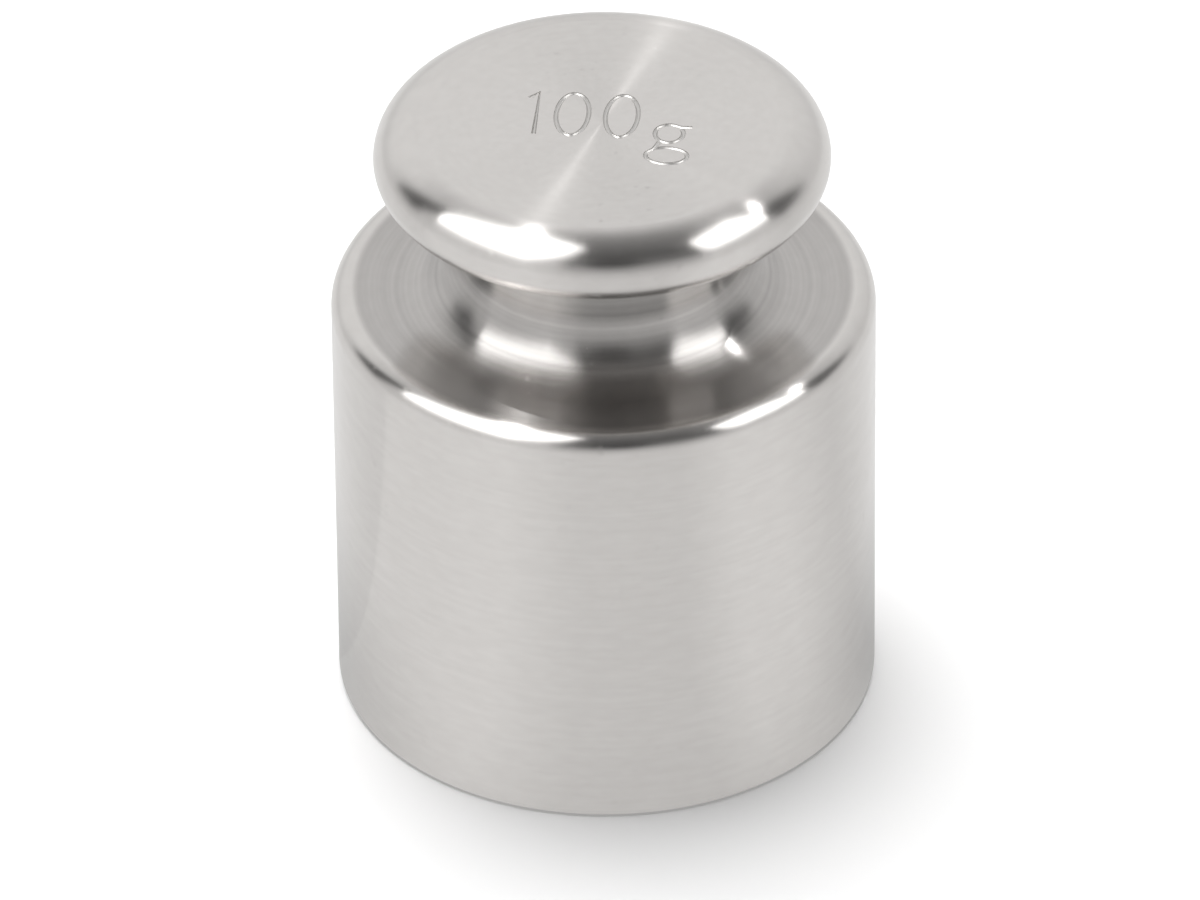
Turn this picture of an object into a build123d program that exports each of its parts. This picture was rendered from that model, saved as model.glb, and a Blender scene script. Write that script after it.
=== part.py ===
from build123d import *
import os
from math import cos, radians, sin

# A knob calibration weight of 100 g, turned in one piece from stainless steel.
# The origin is the centre of the flat base, +Z runs up the axis, and the
# engraved figures read from the -Y side. All lengths are in millimetres.

# Body
body_d = 25.2        # diameter of the cylinder
shoulder_h = 21.35   # base to the flat shoulder
rim_r = 0.95         # rounding of the shoulder's rim
foot_r = 0.35        # broken edge round the base

# Neck and knob
neck_d = 13.3        # straight part of the neck
neck_h = 5.6         # shoulder to the knob's flat underside
hollow_r = 2.85      # hollow between the shoulder and the neck
corner_r = 0.4       # small corner under the knob
knob_d = 21.05       # outside of the knob
edge_w = 2.05        # how far the knob's rounded edge reaches in from the outside
edge_up = 1.8        # rounded edge above the knob's widest circle
edge_down = 1.6      # rounded edge below it

# Engraving on the knob's flat top
stroke_w = 0.2       # width of a cut stroke
stroke_deep = 0.1    # depth of a cut stroke
figure_turn = 5.0    # the line of figures is turned this far clockwise, degrees
digit_h = 3.4        # height of the digits, along the middle of the stroke
zero_w = 1.5         # width of a nought, along the middle of the stroke
digit_y = 0.62       # middle of the digits above the axis
one_x = -3.05        # places of the three digits across the top
zero_xs = (-1.4, 0.87)
flag_w = 0.42        # flag of the figure one
flag_h = 0.5
letter_x = 3.15      # middle of the letter g
bowl_y = -0.65       # its upper bowl
bowl_w = 1.3
bowl_h = 1.45
loop_y = -2.45       # its lower loop
loop_w = 1.9
loop_h = 1.3
ear_w = 0.6          # its ear, level, at the top right of the bowl
ear_at = 50          # where the ear meets the bowl, degrees round from +X
link_from = 235      # where the link leaves the bowl, and where it meets the loop
link_to = 130

# What follows from them
body_r = body_d / 2
edge_x = knob_d / 2 - edge_w          # radius of the knob's flat top and underside
neck_r = neck_d / 2
hollow_x = neck_r + hollow_r          # where the hollow runs out on the shoulder
corner_x = neck_r + corner_r
under_z = shoulder_h + neck_h         # height of the knob's flat underside
knob_z = under_z + edge_down          # height of its widest circle
total_h = knob_z + edge_up


def on_oval(x, y, width, height, angle):
    """The point at an angle on an oval."""
    turn = radians(angle)
    return (x + width / 2 * cos(turn), y + height / 2 * sin(turn))


def cut_ring(x, y, width, height):
    """An oval stroke, with its width and height measured along its middle."""
    with Locations((x, y)):
        Ellipse(width / 2 + stroke_w / 2, height / 2 + stroke_w / 2)
        Ellipse(width / 2 - stroke_w / 2, height / 2 - stroke_w / 2, mode=Mode.SUBTRACT)


def cut_stroke(*points):
    """A straight or bent stroke with round ends."""
    SlotArc(Wire.make_polygon(points, close=False), stroke_w)


with BuildPart() as weight:
    # Half of the outline, from the centre of the base up to the centre of the top.
    with BuildSketch(Plane.XZ):
        with BuildLine():
            Line((0, 0), (body_r - foot_r, 0))
            CenterArc((body_r - foot_r, foot_r), foot_r, -90, 90)
            Line((body_r, foot_r), (body_r, shoulder_h - rim_r))
            CenterArc((body_r - rim_r, shoulder_h - rim_r), rim_r, 0, 90)
            Line((body_r - rim_r, shoulder_h), (hollow_x, shoulder_h))
            CenterArc((hollow_x, shoulder_h + hollow_r), hollow_r, 180, 90)
            Line((neck_r, shoulder_h + hollow_r), (neck_r, under_z - corner_r))
            CenterArc((corner_x, under_z - corner_r), corner_r, 90, 90)
            Line((corner_x, under_z), (edge_x, under_z))
            EllipticalCenterArc((edge_x, knob_z), edge_w, edge_down, -90, arc_size=90)
            EllipticalCenterArc((edge_x, knob_z), edge_w, edge_up, 0, arc_size=90)
            Line((edge_x, total_h), (0, total_h))
            Line((0, total_h), (0, 0))
        make_face()
    revolve(axis=Axis.Z)

    # The nominal value, engraved as single strokes.
    top = digit_y + digit_h / 2
    foot = digit_y - digit_h / 2
    with BuildSketch(Plane.XY.offset(total_h).rotated((0, 0, -figure_turn))):
        cut_stroke((one_x - flag_w, top - flag_h), (one_x, top), (one_x, foot))
        for zero_x in zero_xs:
            cut_ring(zero_x, digit_y, zero_w, digit_h)
        cut_ring(letter_x, bowl_y, bowl_w, bowl_h)
        cut_ring(letter_x, loop_y, loop_w, loop_h)
        ear_x, ear_y = on_oval(letter_x, bowl_y, bowl_w, bowl_h, ear_at)
        cut_stroke((ear_x, ear_y), (ear_x + ear_w, ear_y))
        cut_stroke(
            on_oval(letter_x, bowl_y, bowl_w, bowl_h, link_from),
            on_oval(letter_x, loop_y, loop_w, loop_h, link_to),
        )
    extrude(amount=-stroke_deep, mode=Mode.SUBTRACT)

weight.part.label = "weight"
os.makedirs("parts", exist_ok=True)
export_step(weight.part, "parts/weight.step")
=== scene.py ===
from math import cos, pi, radians, sin

import bmesh
import bpy
from mathutils import Matrix, Vector


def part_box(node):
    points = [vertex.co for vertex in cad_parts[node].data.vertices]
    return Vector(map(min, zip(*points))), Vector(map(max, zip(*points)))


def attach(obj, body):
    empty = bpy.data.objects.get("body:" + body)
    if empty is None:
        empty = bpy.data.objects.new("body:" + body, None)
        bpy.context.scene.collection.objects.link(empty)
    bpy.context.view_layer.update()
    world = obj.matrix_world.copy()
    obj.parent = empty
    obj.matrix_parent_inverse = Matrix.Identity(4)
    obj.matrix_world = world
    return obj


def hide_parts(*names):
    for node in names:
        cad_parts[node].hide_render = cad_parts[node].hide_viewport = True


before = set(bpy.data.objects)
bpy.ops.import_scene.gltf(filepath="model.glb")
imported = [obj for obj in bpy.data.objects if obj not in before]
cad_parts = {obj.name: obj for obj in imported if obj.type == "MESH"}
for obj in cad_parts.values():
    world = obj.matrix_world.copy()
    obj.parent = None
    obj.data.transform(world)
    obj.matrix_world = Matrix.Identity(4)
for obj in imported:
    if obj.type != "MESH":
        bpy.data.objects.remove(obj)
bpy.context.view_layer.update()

# A 100 g knob weight, turned in one piece from stainless steel and engraved
# with its nominal value. Lengths are in metres, and bearings are degrees round
# from the -Y side, which the figures face, growing towards +X.

MM = 0.001

# The turned body, neck and knob
BODY_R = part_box("weight")[1][0]
TOP_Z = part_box("weight")[1][2]
RIM_R = 0.95 * MM           # rounding of the shoulder's rim
FOOT_R = 0.35 * MM          # broken edge round the base
NECK_R = 6.65 * MM
NECK_H = 5.6 * MM           # shoulder to the knob's flat underside
HOLLOW_R = 2.85 * MM        # hollow between the shoulder and the neck
CORNER_R = 0.4 * MM         # small corner under the knob
KNOB_R = 10.525 * MM
EDGE_W = 2.05 * MM          # how far the knob's rounded edge reaches in
EDGE_UP = 1.8 * MM          # rounded edge above the knob's widest circle
EDGE_DOWN = 1.6 * MM        # and below it
FLAT_R = KNOB_R - EDGE_W
KNOB_Z = TOP_Z - EDGE_UP
UNDERSIDE_Z = KNOB_Z - EDGE_DOWN
SHOULDER_Z = UNDERSIDE_Z - NECK_H
RIM_INSIDE = BODY_R - RIM_R
SIDE_TOP = SHOULDER_Z - RIM_R

# How finely it is turned
LATHE_STEPS = 256
ARC_STEPS = 20
FLAT_MARGIN = 0.2 * MM      # narrow band of each flat beside a rounding
SLACK = 0.001 * MM          # for telling a flat from the rounding beside it

# The engraved figures, as laid out before the line is turned on the knob
STROKE_R = 0.12 * MM        # round tip of the tool that cuts a stroke
STROKE_DEEP = 0.1 * MM
FIGURE_TURN = radians(5)
DIGIT_H = 3.4 * MM
DIGIT_Y = 0.62 * MM
ZERO_W = 1.5 * MM
ONE_X = -3.05 * MM
ZERO_XS = (-1.4 * MM, 0.87 * MM)
FLAG_W = 0.42 * MM
FLAG_H = 0.5 * MM
LETTER_X = 3.15 * MM
BOWL = (LETTER_X, -0.65 * MM, 1.3 * MM, 1.45 * MM)
LOOP = (LETTER_X, -2.45 * MM, 1.9 * MM, 1.3 * MM)
EAR_W = 0.6 * MM
EAR_AT = 50
LINK_FROM = 235
LINK_TO = 130
OVAL_STEP = 5               # degrees between points on an oval stroke
LIP_ANGLE = radians(30)     # a sharper edge than this stays crisp

# Finishes, by the number that a face carries
EDGES, SIDE, HOLLOW, TOP, STROKES = range(5)
EDGE_ROUGH = 0.18
SIDE_ROUGH = 0.165
HOLLOW_ROUGH = 0.2
TOP_ROUGH = 0.14

# Soft lights: name, corners as bearing and height, strength, and the share of
# the glow at some bearings
PANEL_AWAY = 0.8
SOFT_LIGHTS = [
    (
        "left_soft_light",
        [(-14, 60), (-40, 32), (-92, 29), (-108, 48), (-150, 68), (-20, 79)],
        3.0,
        [(-155, 1), (-32, 1), (-16, 0)],
    ),
    (
        "right_soft_light",
        [(49, 28), (92, 29), (120, 62), (62, 60)],
        2.8,
        [(49, 0), (59, 1), (122, 1)],
    ),
]

# How white the walls are at some bearings, and how white the floor shows in the steel there, which
# is painted light and shade on the paper
WALL_LEVELS = [
    (-135, 1.0), (-124, 0.75), (-118, 0.08), (-106, 0.08), (-98, 0.75), (-89, 0.75),
    (-24, 0.6), (-17, 0.17), (0, 0.13), (44, 0.12), (50, 0.18), (58, 0.6), (90, 0.6),
    (97, 0.1), (112, 0.12), (122, 0.75), (140, 0.88), (180, 1.0),
]
PAINTED_FLOOR_LIGHT = [
    (-130, 0.83), (-97, 0.76), (-66, 0.84), (-36, 0.87), (-10, 0.76), (27, 0.74),
    (46, 0.85), (66, 0.85), (95, 0.7), (130, 0.83), (180, 0.9),
]
LOW_WALL_LEVEL = 0.8
CAMERA_LEVEL = 0.03         # the dark camera in front, and where it stands
CAMERA_BEARING = 5
CAMERA_HEIGHT = 37
PAPER_WHITE = 0.78
PAPER_IN_STEEL = 0.1        # how white its lit face shows in the steel, on top of its level
FLOOR_R = 3

# Camera
VIEW_RISE = radians(35.52)
VIEW_ROLL = -0.0098
VIEW_DISTANCE = 655.2 * MM
VIEW_AIM = Vector((-0.23 * MM, 0, 11.93 * MM))
LENS_MM = 421.8
SENSOR_MM = 36


# ---------------------------------------------------------------- the weight

def arc_points(centre, across, up, start, end):
    """Points on a quarter of an oval, in the plane of the outline."""
    turns = [radians(start + (end - start) * i / ARC_STEPS) for i in range(ARC_STEPS + 1)]
    return [(centre[0] + across * cos(turn), centre[1] + up * sin(turn)) for turn in turns]


def outline_points():
    """Half of the outline, from the base's rim up to the edge of the knob's top."""
    points = [(BODY_R - FOOT_R - FLAT_MARGIN, 0)]
    points += arc_points((BODY_R - FOOT_R, FOOT_R), FOOT_R, FOOT_R, -90, 0)
    points += arc_points((RIM_INSIDE, SIDE_TOP), RIM_R, RIM_R, 0, 90)
    points += [(RIM_INSIDE - FLAT_MARGIN, SHOULDER_Z)]
    points += [(NECK_R + HOLLOW_R + FLAT_MARGIN, SHOULDER_Z)]
    points += arc_points(
        (NECK_R + HOLLOW_R, SHOULDER_Z + HOLLOW_R), HOLLOW_R, HOLLOW_R, 270, 180)
    points += arc_points(
        (NECK_R + CORNER_R, UNDERSIDE_Z - CORNER_R), CORNER_R, CORNER_R, 180, 90)
    points += [(FLAT_R - FLAT_MARGIN, UNDERSIDE_Z)]
    points += arc_points((FLAT_R, KNOB_Z), EDGE_W, EDGE_DOWN, -90, 0)
    points += arc_points((FLAT_R, KNOB_Z), EDGE_W, EDGE_UP, 0, 90)[1:]
    points += [(FLAT_R - FLAT_MARGIN, TOP_Z)]
    return points


def finish_at(place):
    """Which finish a face takes, from where its middle lies."""
    across = place.xy.length
    if place.z > TOP_Z - SLACK:
        return TOP
    if across < RIM_INSIDE and SHOULDER_Z - SLACK < place.z < UNDERSIDE_Z + SLACK:
        return HOLLOW
    return SIDE if FOOT_R < place.z < SIDE_TOP else EDGES


def turn_on_lathe(points):
    """Spin the outline into a closed shell with flat ends."""
    shell = bmesh.new()
    verts = [shell.verts.new((across, 0, up)) for across, up in points]
    edges = [shell.edges.new(pair) for pair in zip(verts, verts[1:])]
    bmesh.ops.spin(
        shell, geom=verts + edges, cent=(0, 0, 0), axis=(0, 0, 1), dvec=(0, 0, 0),
        angle=2 * pi, steps=LATHE_STEPS, use_merge=True, use_duplicate=False)
    bmesh.ops.remove_doubles(shell, verts=shell.verts, dist=0.1 * STROKE_R)
    open_edges = [edge for edge in shell.edges if edge.is_boundary]
    bmesh.ops.holes_fill(shell, edges=open_edges, sides=0)
    bmesh.ops.recalc_face_normals(shell, faces=shell.faces)
    for face in shell.faces:
        face.smooth = True
        face.material_index = finish_at(face.calc_center_median())
    mesh = bpy.data.meshes.new("weight_turned")
    shell.to_mesh(mesh)
    shell.free()
    return mesh


def on_oval(oval, angle):
    """The point at an angle on an oval given by its middle, width and height."""
    x, y, width, height = oval
    return (x + width / 2 * cos(radians(angle)), y + height / 2 * sin(radians(angle)))


def stroke_paths():
    """Each stroke's points, and whether it closes on itself.

    The strokes that run on from others come apart, as a second list."""
    top = DIGIT_Y + DIGIT_H / 2
    foot = DIGIT_Y - DIGIT_H / 2
    ovals = [(x, DIGIT_Y, ZERO_W, DIGIT_H) for x in ZERO_XS] + [BOWL, LOOP]
    strokes = [
        ([on_oval(oval, angle) for angle in range(0, 360, OVAL_STEP)], True)
        for oval in ovals
    ]
    strokes.append(([(ONE_X - FLAG_W, top - FLAG_H), (ONE_X, top), (ONE_X, foot)], False))
    ear = on_oval(BOWL, EAR_AT)
    joins = [
        ([ear, (ear[0] + EAR_W, ear[1])], False),
        ([on_oval(BOWL, LINK_FROM), on_oval(LOOP, LINK_TO)], False),
    ]
    return strokes, joins


def stroke_cutter(name, paths, materials):
    """Round rods along the strokes, sunk partly in the knob's top."""
    curve = bpy.data.curves.new(name, "CURVE")
    curve.dimensions = "3D"
    curve.bevel_depth = STROKE_R
    curve.bevel_resolution = 3
    curve.use_fill_caps = True
    for points, closed in paths:
        spline = curve.splines.new("POLY")
        spline.points.add(len(points) - 1)
        for point, (x, y) in zip(spline.points, points):
            point.co = (x, y, STROKE_R - STROKE_DEEP, 1)
        spline.use_cyclic_u = closed
    rods = bpy.data.objects.new(name, curve)
    bpy.context.collection.objects.link(rods)
    depsgraph = bpy.context.evaluated_depsgraph_get()
    mesh = bpy.data.meshes.new_from_object(rods.evaluated_get(depsgraph))
    bpy.data.objects.remove(rods)
    mesh.transform(Matrix.Translation((0, 0, TOP_Z)) @ Matrix.Rotation(-FIGURE_TURN, 4, "Z"))
    mesh.materials.clear()
    for material in materials:
        mesh.materials.append(material)
    for polygon in mesh.polygons:
        polygon.material_index = STROKES
    cutter = bpy.data.objects.new(name, mesh)
    bpy.context.collection.objects.link(cutter)
    return cutter


def engrave(piece, cutters):
    """Cut the strokes out of the knob's top, and keep the result as the mesh."""
    for cutter in cutters:
        cut = piece.modifiers.new(cutter.name, "BOOLEAN")
        cut.operation = "DIFFERENCE"
        cut.solver = "EXACT"
        cut.object = cutter
    depsgraph = bpy.context.evaluated_depsgraph_get()
    mesh = bpy.data.meshes.new_from_object(piece.evaluated_get(depsgraph))
    piece.modifiers.clear()
    piece.data = mesh
    for cutter in cutters:
        bpy.data.objects.remove(cutter)


def crease_strokes(mesh):
    """Keep the lips of the strokes crisp and everything turned smooth."""
    shell = bmesh.new()
    shell.from_mesh(mesh)
    for face in shell.faces:
        face.smooth = True
    for edge in shell.edges:
        if len(edge.link_faces) == 2:
            edge.smooth = edge.calc_face_angle(0) < LIP_ANGLE
    shell.to_mesh(mesh)
    shell.free()


def make_weight(materials):
    mesh = turn_on_lathe(outline_points())
    for material in materials:
        mesh.materials.append(material)
    weight = bpy.data.objects.new("turned_weight", mesh)
    bpy.context.collection.objects.link(weight)
    strokes, joins = stroke_paths()
    cutters = [
        stroke_cutter("stroke_rods", strokes, materials),
        stroke_cutter("join_rods", joins, materials),
    ]
    engrave(weight, cutters)
    crease_strokes(weight.data)
    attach(weight, "root")
    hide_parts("weight")


# ----------------------------------------------------------- shading helpers

def math_node(nodes, links, operation, *inputs):
    node = nodes.new("ShaderNodeMath")
    node.operation = operation
    for socket, value in zip(node.inputs, inputs):
        if isinstance(value, (int, float)):
            socket.default_value = value
        else:
            links.new(value, socket)
    return node.outputs[0]


def map_range(nodes, links, value, low, high, to_low, to_high):
    """The value carried from one range to another, and held at its ends."""
    node = nodes.new("ShaderNodeMapRange")
    sockets = ("From Min", "From Max", "To Min", "To Max")
    for name, number in zip(sockets, (low, high, to_low, to_high)):
        node.inputs[name].default_value = number
    links.new(value, node.inputs["Value"])
    return node.outputs["Result"]


def noise(nodes, links, vector, scale, detail, name):
    node = nodes.new("ShaderNodeTexNoise")
    node.name = name
    node.inputs["Scale"].default_value = scale
    node.inputs["Detail"].default_value = detail
    links.new(vector, node.inputs["Vector"])
    return node.outputs["Fac"]


def mix_colours(nodes, links, share, first, second):
    """A colour that runs from the first to the second as the share grows."""
    node = nodes.new("ShaderNodeMix")
    node.data_type = "RGBA"
    links.new(share, node.inputs["Factor"])
    for name, colour in (("A", first), ("B", second)):
        if isinstance(colour, tuple):
            node.inputs[name].default_value = colour
        else:
            links.new(colour, node.inputs[name])
    return node.outputs["Result"]


def grey(level):
    return (level, level, level, 1)


def split(nodes, links, vector):
    """The X, Y and Z of a vector."""
    node = nodes.new("ShaderNodeSeparateXYZ")
    links.new(vector, node.inputs[0])
    return node.outputs


def levels_around(nodes, links, vector, levels):
    """Grey levels that change with the bearing, from (bearing, level) pairs."""
    around = nodes.new("ShaderNodeTexGradient")
    around.gradient_type = "RADIAL"
    links.new(vector, around.inputs["Vector"])
    ramp = nodes.new("ShaderNodeValToRGB")
    stops = sorted((((bearing + 90) % 360) / 360, level) for bearing, level in levels)
    elements = ramp.color_ramp.elements
    while len(elements) < len(stops):
        elements.new(0.5)
    for element, (position, level) in zip(elements, stops):
        element.position = position
        element.color = grey(level)
    links.new(around.outputs["Fac"], ramp.inputs["Fac"])
    return ramp.outputs["Color"]


# ------------------------------------------------------------------ materials

def new_steel(name):
    material = bpy.data.materials.new(name)
    material.use_nodes = True
    nodes = material.node_tree.nodes
    steel = nodes["Principled BSDF"]
    steel.inputs["Metallic"].default_value = 1
    return material, nodes, material.node_tree.links, steel


def lathe_coordinates(nodes, links):
    """Object coordinates, the place on the outline, that place with the
    bearing drawn out along the rings, and the way the tool was fed."""
    place = nodes.new("ShaderNodeTexCoord").outputs["Object"]
    x, y, z = split(nodes, links, place)
    across = math_node(nodes, links, "SQRT", math_node(
        nodes, links, "ADD",
        math_node(nodes, links, "MULTIPLY", x, x),
        math_node(nodes, links, "MULTIPLY", y, y)))
    outline = nodes.new("ShaderNodeCombineXYZ")
    links.new(across, outline.inputs["X"])
    links.new(z, outline.inputs["Z"])
    # A mark is as long for each radian round the ring as for 5 mm along the outline.
    sweep = nodes.new("ShaderNodeCombineXYZ")
    for side, axis in ((x, "X"), (y, "Y")):
        links.new(math_node(nodes, links, "DIVIDE", side, across), sweep.inputs[axis])
    along = math_node(nodes, links, "ADD", across, z)
    links.new(math_node(nodes, links, "MULTIPLY", along, 200), sweep.inputs["Z"])
    feed = nodes.new("ShaderNodeVectorMath")
    feed.operation = "CROSS_PRODUCT"
    feed.inputs[0].default_value = (0, 0, 1)
    links.new(place, feed.inputs[1])
    return place, outline.outputs[0], sweep.outputs[0], feed.outputs[0]


def finely_turned_steel(name, edge_rough, rough=None, fade=None, shaded_share=1, grooves=0):
    """Bright stainless steel with the fine rings that the tool leaves.

    rough is the roughness away from a polished edge, and shaded_share the share of the edge's
    brightness that is left there, where the tint is darkened as painted shade. fade gives the axis,
    and the places on it between which the finish runs over to the edge's, painted shade included.
    grooves is how far the coarser rings vary in brightness."""
    material, nodes, links, steel = new_steel(name)
    place, outline, sweep, feed = lathe_coordinates(nodes, links)
    steel.inputs["Anisotropic"].default_value = 1
    steel.inputs["Anisotropic Rotation"].default_value = 0.25
    links.new(feed, steel.inputs["Tangent"])

    # Rings of slightly different cut, faint clouds from handling, and specks.
    rings = noise(nodes, links, outline, 9000, 3, "tool_rings")
    clouds = noise(nodes, links, place, 260, 3, "handling_clouds")
    specks = noise(nodes, links, place, 2200, 1, "faint_specks")
    roughness = math_node(
        nodes, links, "ADD",
        map_range(nodes, links, rings, 0.3, 0.7, -0.01, 0.01),
        map_range(nodes, links, clouds, 0.35, 0.7, 0, 0.02))
    roughness = math_node(
        nodes, links, "ADD", roughness, map_range(nodes, links, specks, 0.68, 0.8, 0, 0.06))
    marks = noise(nodes, links, sweep, 11, 3, "partial_rings")
    colour = mix_colours(
        nodes, links, map_range(nodes, links, marks, 0.3, 0.7, 0, 1),
        (0.609, 0.589, 0.571, 1), (0.631, 0.611, 0.594, 1))
    if fade:
        axis, start, end = fade
        along = split(nodes, links, outline)[axis]
        roughness = math_node(
            nodes, links, "ADD", roughness,
            map_range(nodes, links, along, start, end, rough, edge_rough))
        cut = noise(nodes, links, outline, 3000, 3, "coarse_rings")
        # Painted shade darkens the tint away from the edge, and the coarser rings vary it.
        shade_and_rings = nodes.new("ShaderNodeVectorMath")
        shade_and_rings.operation = "SCALE"
        links.new(colour, shade_and_rings.inputs[0])
        links.new(
            math_node(
                nodes, links, "MULTIPLY",
                map_range(nodes, links, along, start, end, shaded_share, 1),
                map_range(nodes, links, cut, 0.3, 0.7, 1 - grooves, 1 + grooves)),
            shade_and_rings.inputs["Scale"])
        colour = shade_and_rings.outputs[0]
    else:
        roughness = math_node(nodes, links, "ADD", roughness, edge_rough)
    links.new(roughness, steel.inputs["Roughness"])
    links.new(colour, steel.inputs["Base Color"])
    bump = nodes.new("ShaderNodeBump")
    bump.inputs["Strength"].default_value = 0.05
    bump.inputs["Distance"].default_value = 0.002 * MM
    links.new(rings, bump.inputs["Height"])
    links.new(bump.outputs["Normal"], steel.inputs["Normal"])
    return material


def engraved_steel():
    """The floor of a stroke, a little duller and greyer than the turned face."""
    material, nodes, links, steel = new_steel("engraved_steel")
    place = nodes.new("ShaderNodeTexCoord").outputs["Object"]
    grain = noise(nodes, links, place, 22000, 2, "cutter_grain")
    links.new(map_range(nodes, links, grain, 0.3, 0.7, 0.3, 0.42), steel.inputs["Roughness"])
    links.new(
        mix_colours(nodes, links, grain, (0.50, 0.49, 0.475, 1), (0.60, 0.585, 0.57, 1)),
        steel.inputs["Base Color"])
    return material


def weight_finishes():
    """The finishes, in the order of their numbers."""
    return [
        finely_turned_steel("polished_edges", EDGE_ROUGH),
        finely_turned_steel(
            "turned_side", EDGE_ROUGH, rough=SIDE_ROUGH,
            fade=("Z", SIDE_TOP - 1.5 * MM, SIDE_TOP), grooves=0.012),
        # In the hollow under the knob the tint is darkened towards the neck, a painted shade in the
        # recess.
        finely_turned_steel(
            "turned_hollow", EDGE_ROUGH, rough=HOLLOW_ROUGH,
            fade=("X", RIM_INSIDE - 0.3 * MM, RIM_INSIDE), shaded_share=0.72, grooves=0.08),
        finely_turned_steel("faced_top", TOP_ROUGH),
        engraved_steel(),
    ]


# --------------------------------------------------------------------- studio

def towards(bearing, height):
    """The direction at a bearing and a height in degrees."""
    turn, up = radians(bearing), radians(height)
    return Vector((sin(turn) * cos(up), -cos(turn) * cos(up), sin(up)))


def glowing_panel(name, corners, strength, glow_levels):
    """A soft light that shows in the steel, and doesn't light the paper."""
    mesh = bpy.data.meshes.new(name)
    panel = bmesh.new()
    panel.faces.new([
        panel.verts.new(towards(bearing, height) * PANEL_AWAY) for bearing, height in corners])
    panel.to_mesh(mesh)
    panel.free()
    material = bpy.data.materials.new(name)
    material.use_nodes = True
    nodes, links = material.node_tree.nodes, material.node_tree.links
    nodes.clear()
    place = nodes.new("ShaderNodeTexCoord").outputs["Object"]
    share = levels_around(nodes, links, place, glow_levels)
    glow = nodes.new("ShaderNodeEmission")
    links.new(math_node(nodes, links, "MULTIPLY", share, strength), glow.inputs["Strength"])
    output = nodes.new("ShaderNodeOutputMaterial")
    links.new(glow.outputs[0], output.inputs["Surface"])
    mesh.materials.append(material)
    obj = bpy.data.objects.new(name, mesh)
    bpy.context.collection.objects.link(obj)
    obj.visible_camera = False
    obj.visible_shadow = False
    obj.visible_diffuse = False


def round_lamp(name, bearing, height, distance, size, energy):
    """A round lamp turned to the weight."""
    data = bpy.data.lights.new(name, "AREA")
    data.shape = "DISK"
    data.size = size
    data.energy = energy
    lamp = bpy.data.objects.new(name, data)
    lamp.location = towards(bearing, height) * distance
    lamp.rotation_euler = lamp.location.to_track_quat("Z", "Y").to_euler()
    bpy.context.collection.objects.link(lamp)
    return lamp


def make_lights():
    """Two soft lights, with a small hot lamp behind each, and a lamp for the paper."""
    for soft_light in SOFT_LIGHTS:
        glowing_panel(*soft_light)
    hot_lamps = [
        round_lamp("left_hot_lamp", -120, 73.5, 0.75, 0.014, 1.7),
        round_lamp("right_hot_lamp", 118, 52, 0.75, 0.01, 0.33),
    ]
    for lamp in hot_lamps:
        lamp.visible_diffuse = False
    # It lights the paper alone, because the steel only reflects what it sees.
    overhead = round_lamp("overhead_floor_lamp", -155, 75, 0.8, 0.75, 8.5)
    overhead.visible_glossy = False


def make_room():
    """A white room, dark overhead and in front, with dark gaps beside the soft lights."""
    world = bpy.data.worlds.new("room")
    bpy.context.scene.world = world
    world.use_nodes = True
    nodes, links = world.node_tree.nodes, world.node_tree.links
    nodes.clear()
    direction = nodes.new("ShaderNodeTexCoord").outputs["Generated"]
    parts = split(nodes, links, direction)
    walls = levels_around(nodes, links, direction, WALL_LEVELS)
    overhead = map_range(nodes, links, parts["Y"], -0.4, 0.4, 0.13, 0.36)
    level = mix_colours(
        nodes, links, map_range(nodes, links, parts["Z"], 0.64, 0.95, 0, 1), walls, overhead)
    # The white near the floor reaches higher in front.
    low = map_range(nodes, links, parts["Z"], 0.12, 0.3, 1, 0)
    links.new(
        map_range(nodes, links, parts["Y"], -0.4, -0.7, 0.3, 0.6),
        low.node.inputs["From Max"])
    level = mix_colours(nodes, links, low, level, grey(LOW_WALL_LEVEL))
    # A dark camera stands in front.
    facing = nodes.new("ShaderNodeVectorMath")
    facing.operation = "DOT_PRODUCT"
    facing.inputs[1].default_value = towards(CAMERA_BEARING, CAMERA_HEIGHT)
    links.new(direction, facing.inputs[0])
    housing = map_range(nodes, links, facing.outputs["Value"], 0.965, 0.99, 0, 1)
    level = mix_colours(nodes, links, housing, level, grey(CAMERA_LEVEL))
    room = nodes.new("ShaderNodeBackground")
    links.new(level, room.inputs["Color"])
    backdrop = nodes.new("ShaderNodeBackground")
    backdrop.inputs["Color"].default_value = grey(1)
    seen = nodes.new("ShaderNodeLightPath")
    choice = nodes.new("ShaderNodeMixShader")
    links.new(seen.outputs["Is Camera Ray"], choice.inputs["Fac"])
    links.new(room.outputs[0], choice.inputs[1])
    links.new(backdrop.outputs[0], choice.inputs[2])
    output = nodes.new("ShaderNodeOutputWorld")
    links.new(choice.outputs[0], output.inputs["Surface"])


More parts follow.
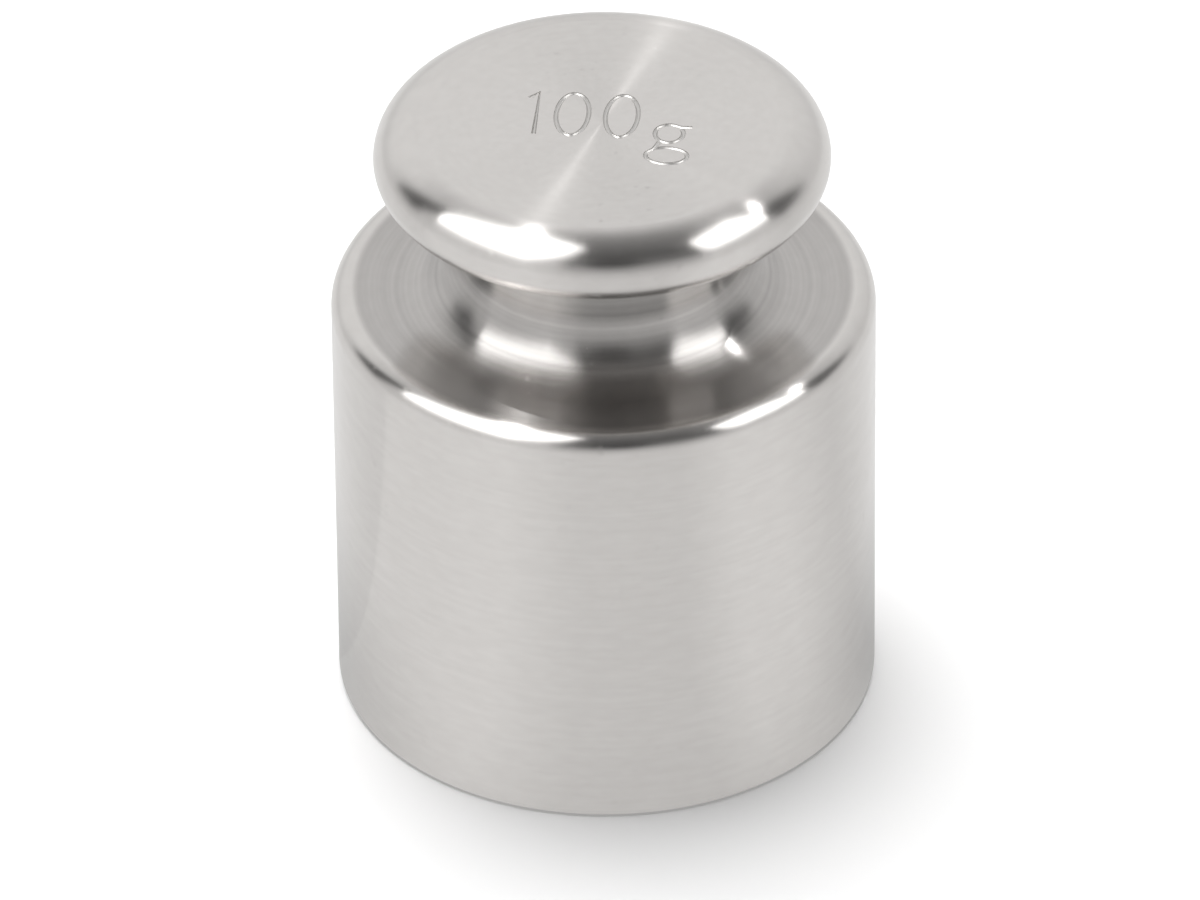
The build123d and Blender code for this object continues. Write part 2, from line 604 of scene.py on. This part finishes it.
def white_paper():
    """Paper that takes the weight's soft shadow, and shows white in the steel, with painted light
    and shade and a painted shadow of the weight there.
    """
    material = bpy.data.materials.new("white_paper")
    material.use_nodes = True
    nodes, links = material.node_tree.nodes, material.node_tree.links
    nodes.clear()
    seen = nodes.new("ShaderNodeLightPath")
    paper = nodes.new("ShaderNodeBsdfDiffuse")
    links.new(
        map_range(
            nodes, links, seen.outputs["Is Camera Ray"], 0, 1, PAPER_IN_STEEL, PAPER_WHITE),
        paper.inputs["Color"])
    place = nodes.new("ShaderNodeTexCoord").outputs["Object"]
    distance = nodes.new("ShaderNodeVectorMath")
    distance.operation = "LENGTH"
    links.new(place, distance.inputs[0])
    away = distance.outputs["Value"]
    # Far off, the lamp no longer reaches it, and it glows to stay white.
    far_glow = math_node(
        nodes, links, "MULTIPLY", seen.outputs["Is Camera Ray"],
        map_range(nodes, links, away, 0.1, 0.3, 0.07, 1))
    # In the steel it is dimmer beside and behind the weight, close to its foot: a painted shadow of
    # the weight on the paper.
    near = map_range(nodes, links, away, BODY_R, 1.8 * BODY_R, 0.36, 0)
    behind = map_range(
        nodes, links, split(nodes, links, place)["Y"], -0.95 * BODY_R, -0.1 * BODY_R, 0, 1)
    outside_painted_shadow = math_node(nodes, links, "SUBTRACT", 1, math_node(nodes, links, "MULTIPLY", near, behind))
    # In the steel it glows with painted light and shade that change with the bearing.
    painted_light_in_steel = math_node(
        nodes, links, "MULTIPLY", seen.outputs["Is Glossy Ray"],
        math_node(
            nodes, links, "MULTIPLY", levels_around(nodes, links, place, PAINTED_FLOOR_LIGHT), outside_painted_shadow))
    white = nodes.new("ShaderNodeEmission")
    links.new(math_node(nodes, links, "ADD", far_glow, painted_light_in_steel), white.inputs["Strength"])
    both = nodes.new("ShaderNodeAddShader")
    links.new(paper.outputs[0], both.inputs[0])
    links.new(white.outputs[0], both.inputs[1])
    output = nodes.new("ShaderNodeOutputMaterial")
    links.new(both.outputs[0], output.inputs["Surface"])
    return material


def make_floor():
    sheet = bmesh.new()
    bmesh.ops.create_circle(sheet, cap_ends=True, segments=96, radius=FLOOR_R)
    mesh = bpy.data.meshes.new("white_floor")
    sheet.to_mesh(mesh)
    sheet.free()
    mesh.materials.append(white_paper())
    floor = bpy.data.objects.new("white_floor", mesh)
    bpy.context.collection.objects.link(floor)


def make_camera():
    data = bpy.data.cameras.new("view")
    data.lens = LENS_MM
    data.sensor_width = SENSOR_MM
    camera = bpy.data.objects.new("view", data)
    turn = Matrix.Rotation(radians(90) - VIEW_RISE, 4, "X") @ Matrix.Rotation(VIEW_ROLL, 4, "Z")
    back = Vector((0, -cos(VIEW_RISE), sin(VIEW_RISE))) * VIEW_DISTANCE
    camera.matrix_world = Matrix.Translation(VIEW_AIM + back) @ turn
    bpy.context.collection.objects.link(camera)
    bpy.context.scene.camera = camera


make_weight(weight_finishes())
make_room()
make_lights()
make_floor()
make_camera()
bpy.context.scene.view_settings.view_transform = "Standard"
